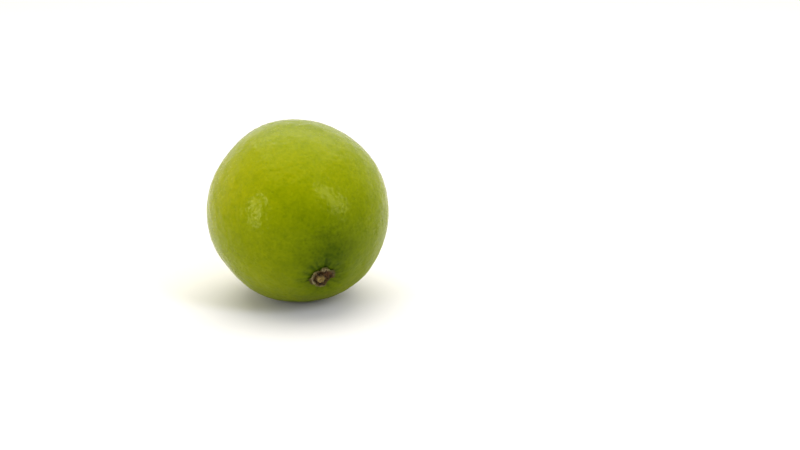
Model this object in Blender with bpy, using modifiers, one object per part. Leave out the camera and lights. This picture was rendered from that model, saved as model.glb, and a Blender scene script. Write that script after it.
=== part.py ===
"""A whole lime lying on its side, with the dried calyx still on its stem end.

It has two grown pieces: the fruit, one body from stem end to nipple, and the calyx, the woody
button that stays behind when the stem breaks off. Both are modelled upright, with the stem end
up and the nipple down, and the empty that carries them lays them on their side.

Metres. In the finished frame +Z is up, the stem end looks to the front (-Y) and dips below the
horizontal, and the origin is on the surface that the fruit rests on, under the middle of it.
"""

import math

import bmesh
import bpy
from mathutils import Matrix, Vector

for old in list(bpy.data.objects):
    bpy.data.objects.remove(old)

MM = 0.001

# The fruit's body: an ellipse turned about the axis from the stem end (+Z) to the nipple (-Z)
RADIUS = 30.0 * MM
STEM_REACH = 31.0 * MM
NIPPLE_REACH = 31.2 * MM
BODY_RINGS = 56
BODY_STEPS = 96
# 0 spaces the rings evenly from pole to pole, and 1 crowds them at the poles
RING_CROWDING = 0.6

# The five faint lobes that run from end to end
LOBES = 5
LOBE_HEIGHT = 0.07 * MM
LOBE_TURN = math.radians(36)

# The nipple, a little off the axis, and the furrow round its foot. One side of the nipple
# slopes off more gently, and the furrow is deeper on the other
NIPPLE_HEIGHT = 2.8 * MM
NIPPLE_RADIUS = 4.6 * MM
NIPPLE_MIDDLE = Vector((0.5 * MM, -0.4 * MM))
NIPPLE_UNEVENNESS = 0.22
NIPPLE_BLUNTNESS = 2.7
FURROW_DEPTH = 0.45 * MM
FURROW_RADIUS = 7.2 * MM
FURROW_WIDTH = 1.9 * MM
FURROW_UNEVENNESS = 0.5

# The stem end: the dish that the calyx sits in, the collar round it and the collar's creases
DISH_DEPTH = 0.8 * MM
DISH_RADIUS = 5.2 * MM
COLLAR_HEIGHT = 0.3 * MM
COLLAR_RADIUS = 9.0 * MM
COLLAR_WIDTH = 3.2 * MM
CREASES = 9
CREASE_DEPTH = 0.14 * MM
CREASE_RADIUS = 8.2 * MM
CREASE_WIDTH = 2.4 * MM

# The broad flats of a fruit that grew against its neighbours. Each one is its angle from the
# stem end, its angle round the axis, the depth in its middle and the angle at which it fades
FLATS = (
    (69, -150, 0.56 * MM, 15),
    (127, 158, 0.52 * MM, 20),
    (112, 62, 0.32 * MM, 22),
    (46, -101, 0.67 * MM, 20),
)

# How the fruit lies: the dip of its stem end, and the spot pressed flat by its own weight
STEM_DIP = math.radians(26.7)
REST_DEPTH = 0.42 * MM
REST_SNAP = 0.05 * MM

# The calyx: five blunt sepals dried flat round the stem's stub, a raised ring with a scar in it
SEPALS = 5
SEPAL_TIP = 4.4 * MM
SEPAL_NOTCH = 3.2 * MM
SEPAL_TURN = math.radians(10)
SEPAL_BLUNTNESS = 0.8
SEPAL_CURL = 0.25 * MM
SEPAL_CURL_POWER = 4
CALYX_UNEVENNESS = 0.05
CALYX_THICKNESS = 0.6 * MM
CALYX_GAP = 0.3 * MM
CALYX_EDGE_POWER = 0.35
CALYX_RINGS = 22
CALYX_STEPS = 60
RING_HEIGHT = 0.6 * MM
RING_SHARE = 0.28
RING_WIDTH = 0.15
SCAR_DEPTH = 0.15 * MM
SCAR_SHARE = 0.12

# Looks: linear colours and roughness
RIND_COLOUR = (0.30, 0.38, 0.02)
RIND_ROUGHNESS = 0.4
CALYX_COLOUR = (0.10, 0.055, 0.025)
CALYX_ROUGHNESS = 0.85


def fade(distance, middle, width):
    """A smooth hump, 1 at the middle and close to 0 at two widths from it."""
    return math.exp(-(((distance - middle) / width) ** 2))


def material(name, colour, roughness):
    """A plain Principled material."""
    made = bpy.data.materials.new(name)
    made.use_nodes = True
    made.diffuse_color = (*colour, 1.0)
    shader = made.node_tree.nodes["Principled BSDF"]
    shader.inputs["Base Color"].default_value = (*colour, 1.0)
    shader.inputs["Roughness"].default_value = roughness
    shader.inputs["Metallic"].default_value = 0.0
    return made


def turned_mesh(outline, steps):
    """The mesh that an outline of (radius, height) points makes, turned about the Z axis."""
    points = [(radius, 0, height) for radius, height in outline]
    edges = [(first, first + 1) for first in range(len(points) - 1)]
    wire = bpy.data.meshes.new("outline")
    wire.from_pydata(points, edges, [])
    profile = bpy.data.objects.new("outline", wire)
    bpy.context.scene.collection.objects.link(profile)
    turn = profile.modifiers.new("turn", "SCREW")
    turn.axis = "Z"
    turn.steps = steps
    turn.render_steps = steps
    turn.use_merge_vertices = True
    turn.merge_threshold = 0.001 * MM
    seen = profile.evaluated_get(bpy.context.evaluated_depsgraph_get())
    mesh = bpy.data.meshes.new_from_object(seen)
    bpy.data.objects.remove(profile)
    bpy.data.meshes.remove(wire)
    return mesh


# The fruit

def body_outline():
    """Half an ellipse from the stem end down to the nipple, with its rings closer at the ends."""
    outline = []
    for ring in range(BODY_RINGS + 1):
        share = ring / BODY_RINGS
        angle = math.pi * share - RING_CROWDING / 2 * math.sin(2 * math.pi * share)
        reach = STEM_REACH if angle < math.pi / 2 else NIPPLE_REACH
        outline.append((RADIUS * math.sin(angle), reach * math.cos(angle)))
    outline[0] = (0, STEM_REACH)
    outline[-1] = (0, -NIPPLE_REACH)
    return outline


def stem_end_relief(x, y):
    """How far the rind stands above the plain ellipse at the stem end."""
    out = math.hypot(x, y)
    around = math.atan2(y, x)
    dish = DISH_DEPTH * fade(out, 0, DISH_RADIUS)
    collar = COLLAR_HEIGHT * fade(out, COLLAR_RADIUS, COLLAR_WIDTH)
    crease = CREASE_DEPTH * fade(out, CREASE_RADIUS, CREASE_WIDTH)
    crease *= 0.5 + 0.5 * math.cos(CREASES * around + math.sin(2 * around))
    return collar - dish - crease


def nipple_relief(x, y):
    """How far the rind stands out from the plain ellipse at the nipple end."""
    out = math.hypot(x - NIPPLE_MIDDLE.x, y - NIPPLE_MIDDLE.y)
    around = math.atan2(y - NIPPLE_MIDDLE.y, x - NIPPLE_MIDDLE.x)
    radius = NIPPLE_RADIUS * (1 + NIPPLE_UNEVENNESS * math.cos(around))
    dome = NIPPLE_HEIGHT * math.exp(-((out / radius) ** NIPPLE_BLUNTNESS))
    furrow = FURROW_DEPTH * fade(out, FURROW_RADIUS, FURROW_WIDTH)
    return dome - furrow * (1 - FURROW_UNEVENNESS * math.cos(around))


def flats_relief(heading):
    """How far the broad flats draw the rind in, in this direction from the middle."""
    depth = 0
    for from_stem, around, deepest, spread in FLATS:
        polar = math.radians(from_stem)
        azimuth = math.radians(around)
        outward = math.sin(polar)
        aim = Vector((outward * math.cos(azimuth), outward * math.sin(azimuth), math.cos(polar)))
        depth += deepest * fade(heading.angle(aim), 0, math.radians(spread))
    return depth


def shaped(point):
    """The fruit's surface at a point of the plain turned body."""
    out = math.hypot(point.x, point.y)
    around = math.atan2(point.y, point.x)
    out += LOBE_HEIGHT * math.cos(LOBES * (around - LOBE_TURN)) * (out / RADIUS) ** 2
    x = out * math.cos(around)
    y = out * math.sin(around)
    if point.z > 0:
        moved = Vector((x, y, point.z + stem_end_relief(x, y)))
    else:
        moved = Vector((x, y, point.z - nipple_relief(x, y)))
    heading = moved.normalized()
    return moved - heading * flats_relief(heading)


def press_flat(body, down):
    """Cuts the resting spot, square to the way down, and gives the middle's height above it."""
    height = max(corner.co.dot(down) for corner in body.verts) - REST_DEPTH
    for corner in body.verts:
        above = height - corner.co.dot(down)
        if abs(above) < REST_SNAP:
            corner.co += down * above
    everything = body.verts[:] + body.edges[:] + body.faces[:]
    cut = bmesh.ops.bisect_plane(
        body,
        geom=everything,
        dist=0.001 * MM,
        plane_co=down * height,
        plane_no=down,
        clear_outer=True,
    )
    rim = [piece for piece in cut["geom_cut"] if isinstance(piece, bmesh.types.BMEdge)]
    bmesh.ops.holes_fill(body, edges=rim, sides=0)
    return height


def make_fruit(laid, down):
    """The fruit, and the place that its middle takes when it lies on its resting spot."""
    mesh = turned_mesh(body_outline(), BODY_STEPS)
    mesh.name = "fruit"
    body = bmesh.new()
    body.from_mesh(mesh)
    for corner in body.verts:
        corner.co = shaped(corner.co)
    height = press_flat(body, down)
    across = [(laid @ corner.co).x for corner in body.verts]
    along = [(laid @ corner.co).y for corner in body.verts]
    body.to_mesh(mesh)
    body.free()
    mesh.shade_smooth()
    mesh.materials.append(material("lime_rind", RIND_COLOUR, RIND_ROUGHNESS))
    middle = Vector((-(min(across) + max(across)) / 2, -(min(along) + max(along)) / 2, height))
    return bpy.data.objects.new("fruit", mesh), middle


# The calyx

def disc_outline():
    """A round-edged disc of radius 1 and height 1: top middle, rim, underside middle."""
    outline = []
    for ring in range(CALYX_RINGS + 1):
        angle = math.pi * ring / CALYX_RINGS
        level = math.cos(angle)
        side = math.copysign(abs(level) ** CALYX_EDGE_POWER, level)
        outline.append((math.sin(angle), 0.5 + 0.5 * side))
    outline[0] = (0, 1)
    outline[-1] = (0, 0)
    return outline


def sepal(around):
    """1 along the middle of a sepal, 0 in the notch between two."""
    return 0.5 + 0.5 * math.cos(SEPALS * (around - SEPAL_TURN))


def dried(point):
    """The calyx's surface at a point of the plain disc."""
    share = math.hypot(point.x, point.y)
    around = math.atan2(point.y, point.x)
    edge = SEPAL_NOTCH + (SEPAL_TIP - SEPAL_NOTCH) * sepal(around) ** SEPAL_BLUNTNESS
    out = share * edge * (1 + CALYX_UNEVENNESS * math.cos(around))
    x = out * math.cos(around)
    y = out * math.sin(around)
    rind = STEM_REACH * math.sqrt(1 - (out / RADIUS) ** 2) + stem_end_relief(x, y)
    curl = SEPAL_CURL * share**SEPAL_CURL_POWER * sepal(around)
    thickness = CALYX_THICKNESS + RING_HEIGHT * fade(share, RING_SHARE, RING_WIDTH)
    thickness -= SCAR_DEPTH * fade(share, 0, SCAR_SHARE)
    return Vector((x, y, rind + CALYX_GAP + curl + thickness * point.z))


def make_calyx():
    """The calyx, in its dish on the stem end."""
    mesh = turned_mesh(disc_outline(), CALYX_STEPS)
    mesh.name = "calyx"
    for corner in mesh.vertices:
        corner.co = dried(corner.co)
    mesh.shade_smooth()
    mesh.materials.append(material("dried_calyx", CALYX_COLOUR, CALYX_ROUGHNESS))
    return bpy.data.objects.new("calyx", mesh)


# The whole lime

collection = bpy.data.collections.new("lime")
bpy.context.scene.collection.children.link(collection)

laid_down = Matrix.Rotation(math.pi / 2 + STEM_DIP, 3, "X")
way_down = laid_down.inverted() @ Vector((0, 0, -1))
fruit, resting_place = make_fruit(laid_down, way_down)
calyx = make_calyx()

carrier = bpy.data.objects.new("lime_as_it_lies", None)
carrier.rotation_euler = laid_down.to_euler()
carrier.location = resting_place
for piece in (carrier, fruit, calyx):
    collection.objects.link(piece)
fruit.parent = carrier
calyx.parent = carrier
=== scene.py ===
"""A whole lime lying on its side on a pale table, with its dried calyx still on the stem end."""

import math

import bmesh
import bpy
import numpy as np
from mathutils import Matrix, Quaternion, Vector, kdtree


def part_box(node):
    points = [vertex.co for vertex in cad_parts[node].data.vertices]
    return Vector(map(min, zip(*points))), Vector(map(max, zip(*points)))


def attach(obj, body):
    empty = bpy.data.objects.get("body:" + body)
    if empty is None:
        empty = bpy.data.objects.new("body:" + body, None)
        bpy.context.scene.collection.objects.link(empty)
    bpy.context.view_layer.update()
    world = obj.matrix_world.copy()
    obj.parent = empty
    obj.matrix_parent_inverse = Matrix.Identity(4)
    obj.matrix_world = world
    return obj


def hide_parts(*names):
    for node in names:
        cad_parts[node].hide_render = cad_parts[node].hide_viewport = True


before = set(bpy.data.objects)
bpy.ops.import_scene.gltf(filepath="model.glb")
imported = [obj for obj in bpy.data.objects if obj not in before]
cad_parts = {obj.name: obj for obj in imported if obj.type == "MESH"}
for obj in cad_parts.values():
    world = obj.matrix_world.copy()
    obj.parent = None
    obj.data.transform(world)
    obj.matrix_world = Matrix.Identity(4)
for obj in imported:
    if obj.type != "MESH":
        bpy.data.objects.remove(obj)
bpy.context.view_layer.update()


# The rind's form
# The rind is the green skin, one grown surface from the stem end to the nipple. It is shaped here
# standing on its nipple, as millimetres from the middle of the fruit, and laid down afterwards.

MM = 0.001
RADIUS = 30.0
STEM_REACH = 31.0
NIPPLE_REACH = 31.2
LOBES = 5
LOBE_HEIGHT = 0.07
LOBE_TURN = math.radians(36)
# How many times each edge of the first cube is halved
RIND_DOUBLINGS = 7


def even_directions(doublings):
    """A cube split into even squares, with its corners pushed out to a ball of radius 1."""
    cube = bmesh.new()
    bmesh.ops.create_cube(cube, size=2)
    bmesh.ops.subdivide_edges(cube, edges=cube.edges, cuts=2**doublings - 1, use_grid_fill=True)
    mesh = bpy.data.meshes.new("rind")
    cube.to_mesh(mesh)
    cube.free()
    corners = np.zeros(len(mesh.vertices) * 3)
    mesh.vertices.foreach_get("co", corners)
    spread = np.tan(corners.reshape(-1, 3) * math.pi / 4)
    return mesh, spread / np.linalg.norm(spread, axis=1, keepdims=True)


rind_mesh, rind_headings = even_directions(RIND_DOUBLINGS)
rind_around = np.arctan2(rind_headings[:, 1], rind_headings[:, 0])
rind_out = RADIUS * np.hypot(rind_headings[:, 0], rind_headings[:, 1])
rind_out += LOBE_HEIGHT * np.cos(LOBES * (rind_around - LOBE_TURN)) * (rind_out / RADIUS) ** 2
rind_along = np.where(rind_headings[:, 2] > 0, STEM_REACH, NIPPLE_REACH) * rind_headings[:, 2]
rind = np.stack(
    (rind_out * np.cos(rind_around), rind_out * np.sin(rind_around), rind_along),
    axis=1,
)


# The stem end
# Round the place where the stem joined, the rind sinks into a shallow dish that holds the calyx.
# It swells round the dish in a low collar, creased where it outgrew the calyx, and painted shade
# streaks the creased collar in dark lines.

DISH_DEPTH = 0.8
DISH_RADIUS = 5.2
COLLAR_HEIGHT = 0.3
COLLAR_RADIUS = 9.0
COLLAR_WIDTH = 3.2
CREASES = 9
CREASE_DEPTH = 0.14
CREASE_RADIUS = 8.2
CREASE_WIDTH = 2.4
WRINKLES = 31
WRINKLE_DEPTH = 0.05
WRINKLE_RADIUS = 5.6
WRINKLE_WIDTH = 1.5
# Dark streaks of painted shade fan out from the calyx over the creased collar: how far apart they
# are, as an angle in radians, how many waves make them, how faint and how dark they get, how far
# out they lie and how far they spread
STREAK_SPACING = 0.24
STREAK_WAVES = 18
STREAK_SEED = 23
STREAK_FAINTEST = -0.3
STREAK_DARKEST = 1.6
STREAK_RADIUS = 5.0
STREAK_WIDTH = 2.9


def fade(distance, middle, width):
    """A smooth hump, 1 at the middle and close to 0 at two widths from it."""
    return np.exp(-(((distance - middle) / width) ** 2))


def waves(points, length, height, count, rng):
    """The sum of plane waves of one length that run in random directions."""
    total = np.zeros(len(points))
    for _ in range(count):
        run = rng.normal(size=3)
        run *= 2 * math.pi / length / np.linalg.norm(run)
        total += np.cos(points @ run + rng.uniform(0, 2 * math.pi))
    return height * total / math.sqrt(count / 2)


def stem_end_relief(out, around):
    """How far the rind stands above the plain ellipse at the stem end."""
    dish = DISH_DEPTH * fade(out, 0, DISH_RADIUS)
    collar = COLLAR_HEIGHT * fade(out, COLLAR_RADIUS, COLLAR_WIDTH)
    crease = CREASE_DEPTH * fade(out, CREASE_RADIUS, CREASE_WIDTH)
    crease *= 0.5 + 0.5 * np.cos(CREASES * around + np.sin(2 * around))
    wrinkle = WRINKLE_DEPTH * fade(out, WRINKLE_RADIUS, WRINKLE_WIDTH)
    wrinkle *= 0.5 + 0.5 * np.cos(WRINKLES * around + 2 * np.sin(3 * around))
    return collar - dish - crease - wrinkle


at_stem_end = rind[:, 2] > 0
from_axis = np.hypot(rind[:, 0], rind[:, 1])
stem_relief = stem_end_relief(from_axis, rind_around)
round_axis = np.stack((np.cos(rind_around), np.sin(rind_around), 0 * rind_around), axis=1)
streaks = waves(round_axis, STREAK_SPACING, 1.0, STREAK_WAVES, np.random.default_rng(STREAK_SEED))
# The streaks are painted shade, darkest near the creased collar round the calyx
painted_crease_shade = at_stem_end * fade(from_axis, STREAK_RADIUS, STREAK_WIDTH)
painted_crease_shade *= np.clip(streaks, STREAK_FAINTEST, STREAK_DARKEST)


# The nipple
# The end that held the flower grows out into a short blunt nipple, with a furrow round its foot,
# darkened with painted shade. The style dried and fell off its tip, which leaves a small corky
# scar.

NIPPLE_HEIGHT = 2.8
NIPPLE_RADIUS = 4.6
NIPPLE_MIDDLE = (0.5, -0.4)
NIPPLE_UNEVENNESS = 0.22
NIPPLE_BLUNTNESS = 2.7
FURROW_DEPTH = 0.45
FURROW_RADIUS = 7.2
FURROW_WIDTH = 1.9
FURROW_UNEVENNESS = 0.5
# How dark the furrow's painted shade is, and how much the streaks vary it
FURROW_DARKNESS = 1.2
FURROW_STREAKS = 0.5
FLUTES = 11
FLUTE_DEPTH = 0.15
FLUTE_RADIUS = 4.4
FLUTE_WIDTH = 2.0
STYLE_SCAR_RADIUS = 0.65
STYLE_SCAR_DEPTH = 0.22
STYLE_SCAR_LIP = 0.10


def nipple_relief(x, y):
    """How far the rind stands out from the plain ellipse at the nipple end."""
    out = np.hypot(x - NIPPLE_MIDDLE[0], y - NIPPLE_MIDDLE[1])
    around = np.arctan2(y - NIPPLE_MIDDLE[1], x - NIPPLE_MIDDLE[0])
    radius = NIPPLE_RADIUS * (1 + NIPPLE_UNEVENNESS * np.cos(around))
    dome = NIPPLE_HEIGHT * np.exp(-((out / radius) ** NIPPLE_BLUNTNESS))
    furrow = FURROW_DEPTH * fade(out, FURROW_RADIUS, FURROW_WIDTH)
    furrow *= 1 - FURROW_UNEVENNESS * np.cos(around)
    flute = FLUTE_DEPTH * fade(out, FLUTE_RADIUS, FLUTE_WIDTH)
    flute *= 0.5 + 0.5 * np.cos(FLUTES * around + np.sin(around))
    scar = STYLE_SCAR_DEPTH * fade(out, 0, STYLE_SCAR_RADIUS)
    lip = STYLE_SCAR_LIP * fade(out, 2 * STYLE_SCAR_RADIUS, STYLE_SCAR_RADIUS / 2)
    return dome - furrow - flute - scar + lip


from_nipple = np.hypot(rind[:, 0] - NIPPLE_MIDDLE[0], rind[:, 1] - NIPPLE_MIDDLE[1])
# Painted shade darkens the furrow, and joins the creases' painted shade on the same layer
painted_furrow_shade = FURROW_DARKNESS * fade(from_nipple, FURROW_RADIUS, FURROW_WIDTH)
painted_furrow_shade *= 1 + FURROW_STREAKS * streaks
painted_crease_shade += np.where(at_stem_end, 0, painted_furrow_shade)
rind[:, 2] += np.where(at_stem_end, stem_relief, -nipple_relief(rind[:, 0], rind[:, 1]))


# The flats and swells
# No lime is quite round. This one has four broad flats, where it pressed on twigs and leaves as it
# grew, and long faint swells all over its skin, which make the shine on its wax uneven.

# Each flat: its angle from the stem end, its angle round the axis, its depth and its half width
FLATS = ((69, -150, 0.56, 15), (127, 158, 0.52, 20), (112, 62, 0.32, 22), (46, -101, 0.67, 20))
# Long shallow waves: their length, their height, and how many directions they run in
SWELLS = ((17.0, 0.045, 12), (7.5, 0.030, 16), (3.8, 0.024, 20), (2.3, 0.016, 24))
SWELL_SEED = 11
# Swells and glands fade away round both ends, this near the axis
CALM_RADIUS = 7.0


def aim(from_stem, around):
    """The direction at these angles in degrees, from the stem end and round the axis."""
    polar = math.radians(from_stem)
    azimuth = math.radians(around)
    outward = math.sin(polar)
    return np.array((outward * math.cos(azimuth), outward * math.sin(azimuth), math.cos(polar)))


def angle_from(headings, direction):
    """The angle in degrees between each heading and a direction."""
    return np.degrees(np.arccos(np.clip(headings @ direction, -1, 1)))


rind_headings = rind / np.linalg.norm(rind, axis=1, keepdims=True)
for from_stem, around, depth, half_width in FLATS:
    flat = depth * fade(angle_from(rind_headings, aim(from_stem, around)), 0, half_width)
    rind -= rind_headings * flat[:, None]

calm = 1 - fade(from_axis, 0, CALM_RADIUS)
swell_rng = np.random.default_rng(SWELL_SEED)
for length, height, count in SWELLS:
    swell = calm * waves(RADIUS * rind_headings, length, height, count, swell_rng)
    rind += rind_headings * swell[:, None]


# The oil glands
# Thousands of oil glands lie just under the rind's surface, a little over a millimetre apart.
# Each one shows as a shallow pit, and they are what makes the wax's shine look speckled.

GLAND_PITCH = 1.35
# The area that each gland has to itself, as a share of the pitch squared
GLAND_ROOM = 0.87
GLAND_JITTER = 0.28
GLAND_RADIUS = (0.34, 0.52)
GLAND_DEPTH = (0.025, 0.070)
GLAND_SEED = 5


def spiral_directions(count):
    """Directions spread evenly over the ball, along a spiral from pole to pole."""
    steps = np.arange(count) + 0.5
    level = 1 - 2 * steps / count
    turn = math.pi * (3 - math.sqrt(5)) * steps
    out = np.sqrt(1 - level**2)
    return np.stack((out * np.cos(turn), out * np.sin(turn), level), axis=1)


gland_rng = np.random.default_rng(GLAND_SEED)
glands = spiral_directions(round(4 * math.pi * (RADIUS / GLAND_PITCH) ** 2 / GLAND_ROOM))
glands += gland_rng.normal(scale=GLAND_JITTER * GLAND_PITCH / RADIUS, size=glands.shape)
glands /= np.linalg.norm(glands, axis=1, keepdims=True)
gland_radii = gland_rng.uniform(*GLAND_RADIUS, len(glands))
gland_depths = gland_rng.uniform(*GLAND_DEPTH, len(glands))

gland_finder = kdtree.KDTree(len(glands))
for number, middle in enumerate(glands):
    gland_finder.insert(middle, number)
gland_finder.balance()
nearest = [gland_finder.find(heading)[1:] for heading in rind_headings]
nearest_gland = np.array([number for number, _ in nearest])
gland_distance = RADIUS * np.array([distance for _, distance in nearest])
gland_share = fade(gland_distance, 0, gland_radii[nearest_gland])
rind -= rind_headings * (calm * gland_share * gland_depths[nearest_gland])[:, None]


# How the fruit lies
# It lies on its side, where it came to rest: the stem end dips to the front and the nipple points
# back and up. Its own weight presses a small spot flat, and nothing holds it.

STEM_DIP = math.radians(26.7)
REST_ROUNDING = 0.12

laid_down = np.array(Matrix.Rotation(math.pi / 2 + STEM_DIP, 3, "X"))
fruit_low, fruit_high = (np.array(corner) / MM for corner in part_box("fruit"))


def lay_down(points):
    """Points of the upright fruit, turned as it lies, still measured from its middle."""
    return points @ laid_down.T


def make_piece(name, mesh, points, layers):
    """Gives a mesh its points, and the values that its finish reads, and puts it in the scene."""
    mesh.vertices.foreach_set("co", (points * MM).ravel())
    mesh.update()
    mesh.shade_smooth()
    for layer_name, values in layers.items():
        kind, field = ("FLOAT_VECTOR", "vector") if values.ndim == 2 else ("FLOAT", "value")
        layer = mesh.attributes.new(layer_name, kind, "POINT")
        layer.data.foreach_set(field, values.ravel())
    piece = bpy.data.objects.new(name, mesh)
    bpy.context.scene.collection.objects.link(piece)
    return piece


rind_grown = rind.copy()
rind = lay_down(rind)
# The finer skin is shrunk by the few micrometres by which it would pass the solid fruit
room_left = (fruit_high - fruit_low) / np.ptp(rind, axis=0)
rind *= min(1, room_left[0], room_left[1])
fruit_middle = (fruit_low + fruit_high) / 2 - (rind.min(axis=0) + rind.max(axis=0)) / 2
fruit_middle[2] = fruit_high[2] - rind[:, 2].max()
rind += fruit_middle
rind[:, 2] = (rind[:, 2] + np.sqrt(rind[:, 2] ** 2 + REST_ROUNDING**2)) / 2
rind[:, 2] -= rind[:, 2].min()

# The crease layer carries the painted shade of the creases and of the nipple's furrow
rind_layers = {"grown": rind_grown, "gland": gland_share, "crease": painted_crease_shade}
rind_piece = make_piece("rind", rind_mesh, rind, rind_layers)


# The rind's finish
# Green skin under a thin coat of its own wax, duller low at the front where it was rubbed. It is
# yellower on the side that had the sun, and lighter there with painted light where the lights fall.
# It is deeper green at both ends, with painted shade darkening the low stem end, the dish, the
# place above the calyx, the creases and the furrow. It is mottled, and dotted with glands.

# The greens, from the darkest to the ripest, and where each lies on a scale from 0 to 1 of ripeness
# with painted light and shade; the darkest are reached where painted shade lies
GREENS = (
    (0.0, (0.028, 0.050, 0.0004)),
    (0.10, (0.042, 0.073, 0.0005)),
    (0.38, (0.127, 0.167, 0.0005)),
    (0.635, (0.203, 0.238, 0.0006)),
    (0.95, (0.320, 0.318, 0.003)),
)
RIPENESS = 0.661
# Round places that are riper, or greener and darker where the last number is below 0: the sunny
# side, lighter too with painted light; painted shade above the calyx; the stem end, its own deeper
# green with painted shade on its low front; the nipple; and painted shade in the dish. Each:
# middle, width, change
RIPENESS_AND_PAINTED_LIGHT_PLACES = (
    # the sunny side: yellower, and lighter with painted light where the lights fall
    (RADIUS * aim(90, 143), 17, 0.153),
    # painted shade above the calyx
    (STEM_REACH * aim(18, 80), 10, -0.153),
    # the stem end's own deeper green, with painted shade on its low front
    (STEM_REACH * aim(12, 55), 19, -0.306),
    ((0, 0, -NIPPLE_REACH), 9, -0.1275),
    # painted shade in the dish round the calyx
    ((0, 0, STEM_REACH), 6, -0.085),
)
# Broad, middling and fine blotches: their swings to the millimetre, detail and roughness
BLOTCHES = {"broad": (0.045, 1.5, 0.5), "mottle": (0.28, 3.0, 0.6), "grain": (1.1, 2.0, 0.6)}
# The smallest glands, too fine for the mesh, are pores in the finish: their pitch in millimetres,
# their radius as a share of it, how dark the faintest is and how much darker the darkest
PORE_PITCH = 1.25
PORE_RADIUS = 0.30
PORE_FAINTEST = 0.25
PORE_DARKER = 3.0
# The scar of the style is corky, and the wax is rubbed off low down at the front
CORK = (0.125, 0.105, 0.02)
CORK_RADIUS = 1.0
RUBBED_MIDDLE = STEM_REACH * aim(32, -75)
RUBBED_WIDTH = 23
# How much each mark on the skin adds to its ripeness, and to the wax's roughness; the crease mark
# is painted shade, which makes the skin greener and darker
RIPER_AND_PAINTED_SHADE = {
    "broad": 0.255,
    "mottle": 0.255,
    "grain": 0.102,
    "gland": -0.0765,
    "dark_pore": -0.051,
    # painted shade in the creases and the furrow
    "crease": -0.0935,
}
WAX_ROUGHNESS = 0.195
ROUGHER = {"rubbed": 0.46, "mottle": 0.10, "grain": 0.16, "pore": 0.12, "cork": 0.45}
# The finest relief: swings to the millimetre, detail, roughness and height, and the pores' depth
SKIN_RELIEF = ((0.9, 2.0, 0.55, 0.5), (2.6, 2.0, 0.5, 0.3))
PORE_DEPTH = 0.60
SKIN_BUMP = {"Strength": 0.6, "Distance": 0.10 * MM}
WAX = {
    "IOR": 1.28,
    "Specular Tint": (1.0, 0.93, 0.26, 1.0),
    "Subsurface Weight": 0.10,
    "Subsurface Radius": (1.0, 0.9, 0.2),
    "Subsurface Scale": 1.5 * MM,
}


def plain(colour):
    """A colour as a socket takes it."""
    return (*colour, 1.0)


class Wire:
    """A shader's socket that takes plain arithmetic: each step adds a Math node."""

    def __init__(self, tree, socket):
        self.tree = tree
        self.socket = socket

    @classmethod
    def node(cls, tree, kind, settings=None, values=None, out=0):
        """Adds a node: its settings first, then each socket's value or link. Gives one output."""
        made = tree.nodes.new(kind)
        for name, setting in (settings or {}).items():
            if name == "stops":
                while len(made.color_ramp.elements) < len(setting):
                    made.color_ramp.elements.new(1.0)
                for element, (position, colour) in zip(made.color_ramp.elements, setting):
                    element.position = position
                    element.color = plain(colour)
            else:
                setattr(made, name, setting)
        plug(tree, made, values or {})
        return cls(tree, made.outputs[out])

    def maths(self, operation, *operands, clamp=False):
        settings = {"operation": operation, "use_clamp": clamp}
        return Wire.node(self.tree, "ShaderNodeMath", settings, dict(enumerate(operands)))

    def __add__(self, other):
        return self.maths("ADD", self, other)

    __radd__ = __add__

    def __sub__(self, other):
        return self.maths("SUBTRACT", self, other)

    def __rsub__(self, other):
        return self.maths("SUBTRACT", other, self)

    def __mul__(self, other):
        return self.maths("MULTIPLY", self, other)

    __rmul__ = __mul__

    def hump(self, width):
        """1 where the value is 0, fading to 0 at about two widths."""
        return self.maths("EXPONENT", self * self * (-1 / width**2))

    def held(self):
        """The value, kept between 0 and 1."""
        return self.maths("ADD", self, 0.0, clamp=True)


def plug(tree, node, values):
    """Gives each named socket of a node its value, or its link."""
    for name, value in values.items():
        if isinstance(value, Wire):
            tree.links.new(value.socket, node.inputs[name])
        else:
            node.inputs[name].default_value = value


def new_material(name):
    """A material, its node tree and its shader."""
    made = bpy.data.materials.new(name)
    made.use_nodes = True
    return made, made.node_tree, made.node_tree.nodes["Principled BSDF"]


def attribute(tree, name, out):
    """What a mesh's layer holds: output 1 is a vector and output 2 is a number."""
    return Wire.node(tree, "ShaderNodeAttribute", {"attribute_name": name}, out=out)


def noise(tree, place, scale, detail, roughness, distortion=0.0):
    """Noise from 0 to 1, with about this many swings to the millimetre."""
    values = {"Vector": place, "Scale": scale, "Detail": detail, "Roughness": roughness}
    values["Distortion"] = distortion
    return Wire.node(tree, "ShaderNodeTexNoise", None, values)


def far_from(tree, place, point):
    """The distance in millimetres from a point."""
    settings = {"operation": "DISTANCE"}
    return Wire.node(tree, "ShaderNodeVectorMath", settings, {0: place, 1: tuple(point)}, out=1)


def mixed(tree, share, first, second):
    """A colour this share of the way from the first to the second."""
    settings = {"data_type": "RGBA"}
    return Wire.node(tree, "ShaderNodeMix", settings, {0: share, 6: first, 7: second}, out=2)


rind_material, tree, shader = new_material("lime_rind")
place = attribute(tree, "grown", 1)
marks = {name: noise(tree, place, *sizes) - 0.5 for name, sizes in BLOTCHES.items()}
marks["gland"] = attribute(tree, "gland", 2)
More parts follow.
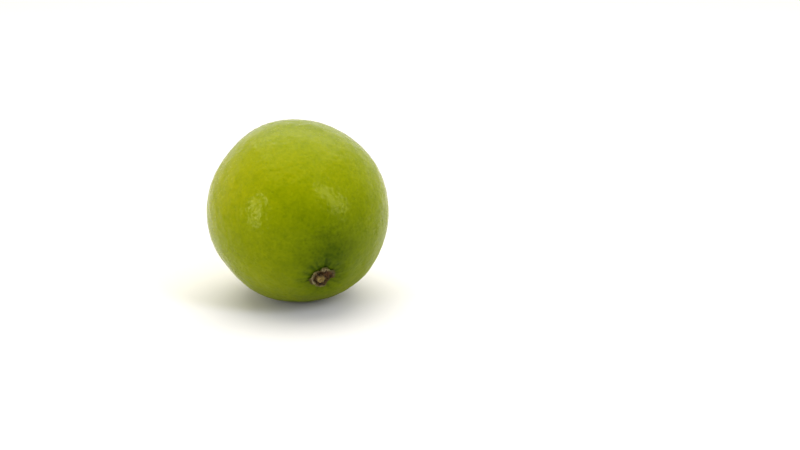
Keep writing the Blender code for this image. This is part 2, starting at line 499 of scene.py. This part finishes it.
# Painted shade along the creases round the calyx and in the nipple's furrow
marks["crease"] = attribute(tree, "crease", 2)
marks["rubbed"] = far_from(tree, place, RUBBED_MIDDLE).hump(RUBBED_WIDTH)
style_tip = (*NIPPLE_MIDDLE, -NIPPLE_REACH - NIPPLE_HEIGHT)
marks["cork"] = far_from(tree, place, style_tip).hump(CORK_RADIUS)
pore_grid = {"Vector": place, "Scale": 1 / PORE_PITCH}
pore = Wire.node(tree, "ShaderNodeTexVoronoi", None, pore_grid).hump(PORE_RADIUS)
pore_share = Wire.node(tree, "ShaderNodeTexVoronoi", None, pore_grid, out=1) + 0.0
darkness = PORE_FAINTEST + PORE_DARKER * pore_share * pore_share * pore_share
marks["pore"] = pore
marks["dark_pore"] = pore * darkness

# One scale of greens carries ripeness and painted light together: painted light on the upper left,
# painted shade at the stem end, the dish, above the calyx, in the creases and in the furrow
ripeness_and_painted_light = RIPENESS
for middle, width, shift in RIPENESS_AND_PAINTED_LIGHT_PLACES:
    ripeness_and_painted_light = ripeness_and_painted_light + shift * far_from(tree, place, middle).hump(width)
for name, shift in RIPER_AND_PAINTED_SHADE.items():
    ripeness_and_painted_light = ripeness_and_painted_light + shift * marks[name]
skin = Wire.node(tree, "ShaderNodeValToRGB", {"stops": GREENS}, {"Fac": ripeness_and_painted_light.held()})

roughness = WAX_ROUGHNESS
for name, rougher in ROUGHER.items():
    roughness = roughness + rougher * marks[name]

relief = sum(height * noise(tree, place, *sizes) for *sizes, height in SKIN_RELIEF)
relief = relief - PORE_DEPTH * pore
plug(tree, shader, {
    "Base Color": mixed(tree, marks["cork"].held(), skin, plain(CORK)),
    "Roughness": roughness.held(),
    "Normal": Wire.node(tree, "ShaderNodeBump", None, {**SKIN_BUMP, "Height": relief}),
    **WAX,
})

rind_mesh.materials.append(rind_material)
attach(rind_piece, "root")
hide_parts("fruit")


# The calyx
# The button that stays when the stem breaks off: five blunt sepals, dried flat against the rind,
# some with their edges curled up into a pale ridge, round a low stub, the torn end of the stem.

# Each sepal: its angle round the axis, its length, its ridge's distance out and its ridge's height
SEPALS = (
    (16, 4.5, 3.6, 0.10),
    (78, 4.1, 3.5, 0.31),
    (147, 3.9, 3.5, 0.16),
    (204, 4.5, 3.3, 0.60),
    (268, 4.6, 4.0, 0.30),
)
SEPAL_NOTCH = 3.1
SEPAL_SPREAD = 38
SEPAL_BLUNTNESS = 2.2
RIDGE_SPREAD = 30
RIDGE_WIDTH = 0.38
RIDGE_WAVER = 0.6
# Between the sepals the ridge heads for this distance out, but only just
RIDGE_BETWEEN = 3.5
LEAST_WEIGHT = 1e-6
CALYX_GAP = 0.3
CALYX_THICKNESS = 0.55
CALYX_RINGS = 140
CALYX_STEPS = 220
CALYX_EDGE_POWER = 0.35
# How much of the thickness the rim loses, and how suddenly
RIM_THINNING = 0.6
RIM_POWER = 6
# Short lumps and wrinkles: their length, their height, and how many directions they run in
LUMPS = ((2.4, 0.10, 9), (1.3, 0.15, 12), (0.7, 0.07, 14))
# How ragged the sepals' edges are: the same three, but as shares of the calyx's radius
RAGGEDNESS = ((0.70, 0.030, 10), (0.30, 0.028, 14))
LUMP_SEED = 3
# It is sunk between the sepals, and faintly ribbed, from these distances out
NOTCH_DEPTH = 0.25
NOTCH_START = 1.8
RIBS = 26
RIB_HEIGHT = 0.04
RIB_START = 1.5
STUB_MIDDLE = (-0.6, -0.2)
STUB_RADIUS = 1.35
STUB_OVALNESS = 0.10
STUB_CORNERS = 0.06
STUB_SOFTNESS = 0.10
STUB_HEIGHT = 0.85
CUP_DEPTH = 0.55
CUP_RADIUS = 0.75
CUP_UNEVENNESS = 0.4
# A moat runs round the stub, this far from its edge
MOAT_GAP = 0.55
MOAT_DEPTH = 0.42
MOAT_WIDTH = 0.42
CALYX_DARK = (0.016, 0.010, 0.002)
CALYX_BROWN = (0.088, 0.050, 0.012)
CALYX_RED = (0.085, 0.036, 0.011)
CALYX_STRAW = (0.225, 0.193, 0.090)
CALYX_OLIVE = (0.080, 0.078, 0.012)
STUB_TAN = (0.235, 0.180, 0.055)
# How pale a ridge is for each millimetre of its height, which is halved for a ridge as low as this
RIDGE_PALENESS = 3.8
LOW_RIDGE = 0.12
# A red spot lies beside the stub, and the rim is olive from this share of the radius
RED_MIDDLE = (1.5, 1.5)
RED_RADIUS = 1.1
OLIVE_START = 0.80
OLIVE_WIDTH = 0.15
# Noises: swings to the millimetre, detail, roughness, and distortion
FIBRES = (1.5, 4.0, 0.7, 0.8)
BROWN_BLOTCHES = (0.9, 3.0, 0.6)
# How far the brown covers the dark: its blotches times the gain, plus the start. The colours over
# it follow the fibres in the same way, each within its layer: layer, colour, gain and start
BROWN_GAIN = 5.0
BROWN_START = -2.0
CALYX_COLOURS = (
    ("red", CALYX_RED, 0.0, 0.7),
    ("outer", CALYX_OLIVE, 1.0, 0.2),
    ("ridge", CALYX_STRAW, 5.5, -1.8),
    ("stub", STUB_TAN, 3.6, -1.0),
)
DRY_ROUGHNESS = 0.675
FIBRES_ROUGHER = 0.25
CALYX_BUMP = {"Strength": 0.8, "Distance": 0.15 * MM}
CALYX_SHINE = 0.25


def turned_disc(rings, steps):
    """A closed round-edged disc of radius 1 and height 1, turned from its outline."""
    outline = bmesh.new()
    corners = []
    for ring in range(rings + 1):
        level = math.cos(math.pi * ring / rings)
        side = math.copysign(abs(level) ** CALYX_EDGE_POWER, level)
        out = 0.0 if ring in (0, rings) else math.sin(math.pi * ring / rings)
        corners.append(outline.verts.new((out, 0, 0.5 + 0.5 * side)))
    for upper, lower in zip(corners, corners[1:]):
        outline.edges.new((upper, lower))
    bmesh.ops.spin(
        outline,
        geom=outline.verts[:] + outline.edges[:],
        axis=(0, 0, 1),
        angle=2 * math.pi,
        steps=steps,
        use_merge=True,
    )
    bmesh.ops.remove_doubles(outline, verts=outline.verts, dist=1e-6)
    bmesh.ops.recalc_face_normals(outline, faces=outline.faces)
    # The faces come in another order on each run, so they are sorted
    outline.verts.index_update()
    faces = sorted(tuple(corner.index for corner in face.verts) for face in outline.faces)
    mesh = bpy.data.meshes.new("calyx")
    mesh.from_pydata([corner.co for corner in outline.verts], [], faces)
    outline.free()
    return mesh


calyx_mesh = turned_disc(CALYX_RINGS, CALYX_STEPS)
disc = np.zeros(len(calyx_mesh.vertices) * 3)
calyx_mesh.vertices.foreach_get("co", disc)
disc = disc.reshape(-1, 3)
share = np.hypot(disc[:, 0], disc[:, 1])
around = np.arctan2(disc[:, 1], disc[:, 0])

edge = np.full(len(disc), SEPAL_NOTCH)
weight = np.full(len(disc), LEAST_WEIGHT)
ridge_out = RIDGE_BETWEEN * weight
ridge_height = np.zeros(len(disc))
on_sepal = np.zeros(len(disc))
for degrees, length, ridge_at, height in SEPALS:
    off = np.degrees(np.abs((around - math.radians(degrees) + math.pi) % (2 * math.pi) - math.pi))
    sepal = np.clip(1 - (off / SEPAL_SPREAD) ** SEPAL_BLUNTNESS, 0, 1)
    near = fade(off, 0, RIDGE_SPREAD)
    edge = np.maximum(edge, SEPAL_NOTCH + (length - SEPAL_NOTCH) * sepal)
    weight += near
    ridge_out += near * ridge_at
    ridge_height += near * height
    on_sepal = np.maximum(on_sepal, sepal)
ridge_out /= weight

lump_rng = np.random.default_rng(LUMP_SEED)
round_calyx = np.stack((np.cos(around), np.sin(around), 0 * around), axis=1)
for length, height, count in RAGGEDNESS:
    edge *= 1 + waves(round_calyx, length, height, count, lump_rng)
out = share * edge
calyx_flat = round_calyx * out[:, None]

lumps = sum(waves(calyx_flat, length, height, count, lump_rng) for length, height, count in LUMPS)
from_stub = np.hypot(calyx_flat[:, 0] - STUB_MIDDLE[0], calyx_flat[:, 1] - STUB_MIDDLE[1])
stub_shape = 1 + STUB_OVALNESS * np.cos(2 * around + 0.6) + STUB_CORNERS * np.cos(5 * around)
stub_edge = STUB_RADIUS * stub_shape
stub = 1 / (1 + np.exp((from_stub - stub_edge) / STUB_SOFTNESS))
cup = CUP_DEPTH * fade(from_stub, 0, CUP_RADIUS) * (1 + CUP_UNEVENNESS * np.cos(around + 0.8))
moat = MOAT_DEPTH * fade(from_stub, stub_edge + MOAT_GAP, MOAT_WIDTH)
ridge = ridge_height * fade(out + RIDGE_WAVER * lumps, ridge_out, RIDGE_WIDTH)
notch = NOTCH_DEPTH * (1 - on_sepal) * np.clip(out - NOTCH_START, 0, 1)
ribbing = RIB_HEIGHT * np.cos(RIBS * around + 3 * np.cos(2 * around))
ribbing *= np.clip(out - RIB_START, 0, 1)
thickness = CALYX_THICKNESS + STUB_HEIGHT * stub - cup * stub - moat + ridge - notch + ribbing
thickness += lumps
thickness *= 1 - RIM_THINNING * share**RIM_POWER

seat = STEM_REACH * np.sqrt(1 - (out / RADIUS) ** 2) + stem_end_relief(out, around)
calyx = calyx_flat.copy()
calyx[:, 2] = seat + CALYX_GAP + thickness * disc[:, 2]

pale = np.clip(RIDGE_PALENESS * ridge * ridge_height / (LOW_RIDGE + ridge_height), 0, 1)
from_red = np.hypot(calyx_flat[:, 0] - RED_MIDDLE[0], calyx_flat[:, 1] - RED_MIDDLE[1])
calyx_layers = {
    "spread": calyx_flat,
    "ridge": pale,
    "stub": stub,
    "red": fade(from_red, 0, RED_RADIUS),
    "outer": np.clip((share - OLIVE_START) / OLIVE_WIDTH, 0, 1),
}
calyx_laid_down = lay_down(calyx) + fruit_middle
calyx_piece = make_piece("calyx_button", calyx_mesh, calyx_laid_down, calyx_layers)

calyx_material, tree, shader = new_material("dried_calyx")
place = attribute(tree, "spread", 1)
fibres = noise(tree, place, *FIBRES)
browner = (BROWN_GAIN * noise(tree, place, *BROWN_BLOTCHES) + BROWN_START).held()
finish = mixed(tree, browner, plain(CALYX_DARK), plain(CALYX_BROWN))
for name, colour, gain, start in CALYX_COLOURS:
    cover = (attribute(tree, name, 2) * (gain * fibres + start)).held()
    finish = mixed(tree, cover, finish, plain(colour))
plug(tree, shader, {
    "Base Color": finish,
    "Roughness": (DRY_ROUGHNESS + FIBRES_ROUGHER * fibres).held(),
    "Normal": Wire.node(tree, "ShaderNodeBump", None, {**CALYX_BUMP, "Height": fibres}),
    "Specular IOR Level": CALYX_SHINE,
})

calyx_mesh.materials.append(calyx_material)
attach(calyx_piece, "root")
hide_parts("calyx")


# The table
# A wide, pale, slightly creamy matt sheet, which lies flat for the fruit to rest on. It isn't part
# of the lime.

# In metres
TABLE_SIZE = 12.0
TABLE_FINISH = {
    "Base Color": (0.745, 0.725, 0.63, 1.0),
    "Roughness": 0.9,
    "Specular IOR Level": 0.1,
}

table_sheet = bmesh.new()
bmesh.ops.create_grid(table_sheet, x_segments=1, y_segments=1, size=TABLE_SIZE / 2)
table_mesh = bpy.data.meshes.new("table")
table_sheet.to_mesh(table_mesh)
table_sheet.free()
table = bpy.data.objects.new("table", table_mesh)
bpy.context.scene.collection.objects.link(table)
table_material, tree, shader = new_material("pale_table")
plug(tree, shader, TABLE_FINISH)
table_mesh.materials.append(table_material)


# The camera
# A 75 mm lens, 18 degrees above the table, a little to the left of the stem end. It stands off to
# one side, so that the fruit shows left of the middle of the picture.

CAMERA_LENS = 75.0
SENSOR_WIDTH = 36.0
CAMERA_AZIMUTH = math.radians(-19.2)
CAMERA_ELEVATION = math.radians(18.0)
CAMERA_DEPTH = 551.0
CAMERA_NEAREST = 10.0
PICTURE = (800, 450)
# Where the fruit's middle shows in the picture
MIDDLE_PIXEL = (297.9, 211.2)


def direction_at(azimuth, elevation):
    """The direction away from the fruit at these angles, with 0 at its front."""
    level = math.cos(elevation)
    return Vector((math.sin(azimuth) * level, -math.cos(azimuth) * level, math.sin(elevation)))


back = direction_at(CAMERA_AZIMUTH, CAMERA_ELEVATION)
right = Vector((math.cos(CAMERA_AZIMUTH), math.sin(CAMERA_AZIMUTH), 0))
up = back.cross(right)
pixel = SENSOR_WIDTH / CAMERA_LENS * CAMERA_DEPTH / PICTURE[0]
sideways = (MIDDLE_PIXEL[0] - PICTURE[0] / 2) * pixel
upward = (PICTURE[1] / 2 - MIDDLE_PIXEL[1]) * pixel
stand = Vector(fruit_middle) + back * CAMERA_DEPTH - right * sideways - up * upward

camera_data = bpy.data.cameras.new("camera")
camera_data.lens = CAMERA_LENS
camera_data.sensor_width = SENSOR_WIDTH
camera_data.clip_start = CAMERA_NEAREST * MM
camera = bpy.data.objects.new("camera", camera_data)
turned = Matrix((right, up, back)).transposed()
camera.matrix_world = Matrix.Translation(stand * MM) @ turned.to_4x4()
bpy.context.scene.collection.objects.link(camera)
bpy.context.scene.camera = camera


# The light
# A big soft box hangs behind the fruit and high above it, and the wax mirrors a narrow cool one on
# each side. A small fill in front gives no shine. The pale room is dark only behind the camera.

# Each box: its azimuth from the camera's, elevation and roll, its distance, width and height in
# metres, its watts and tint, and whether the wax mirrors it
SOFT_BOXES = (
    ("overhead", 180, 78, 0, 0.80, 1.10, 1.20, 6.3, (0.98, 0.98, 1.0), True),
    ("left", -52, 14, 0, 0.90, 0.14, 0.38, 3.0, (0.68, 0.70, 1.0), True),
    ("right", 55, 30, 30, 0.90, 0.22, 0.74, 5.0, (0.66, 0.68, 1.0), True),
    ("fill", -10, 15, 0, 0.90, 0.50, 0.50, 1.3, (1.0, 0.99, 0.92), False),
)
ROOM_TINT = (1.0, 0.985, 0.99)
ROOM_BRIGHT = 0.98
ROOM_DARK = 0.05
# The room is brightest behind the fruit, turned and raised by this much, and darkens to the front
ROOM_TURN = math.radians(9)
ROOM_RISE = 0.35
ROOM_MIDDLE = 0.55
ROOM_CHANGE = 1.1

for name, turn, elevation, roll, distance, width, height, watts, tint, mirrored in SOFT_BOXES:
    box_light = bpy.data.lights.new(name, "AREA")
    box_light.shape = "RECTANGLE"
    box_light.size = width
    box_light.size_y = height
    box_light.energy = watts
    box_light.color = tint
    towards = direction_at(CAMERA_AZIMUTH + math.radians(turn), math.radians(elevation))
    box = bpy.data.objects.new(name, box_light)
    box.location = Vector(fruit_middle) * MM + towards * distance
    facing_fruit = towards.to_track_quat("Z", "Y") @ Quaternion((0, 0, 1), math.radians(roll))
    box.rotation_euler = facing_fruit.to_euler()
    box.visible_glossy = mirrored
    bpy.context.scene.collection.objects.link(box)

room = bpy.data.worlds.new("room")
room.use_nodes = True
bpy.context.scene.world = room
tree = room.node_tree
bright_side = CAMERA_AZIMUTH + ROOM_TURN
brightest = (-math.sin(bright_side), math.cos(bright_side), ROOM_RISE)
facing = Wire.node(tree, "ShaderNodeTexCoord")
dot_product = {"operation": "DOT_PRODUCT"}
behind = Wire.node(tree, "ShaderNodeVectorMath", dot_product, {0: facing, 1: brightest}, out=1)
brightness = (ROOM_MIDDLE + ROOM_CHANGE * behind).held()
brightness = ROOM_DARK + (ROOM_BRIGHT - ROOM_DARK) * brightness
plug(tree, tree.nodes["Background"], {"Strength": brightness, "Color": plain(ROOM_TINT)})

bpy.context.scene.view_settings.view_transform = "Standard"
bpy.context.scene.view_settings.look = "Medium High Contrast"
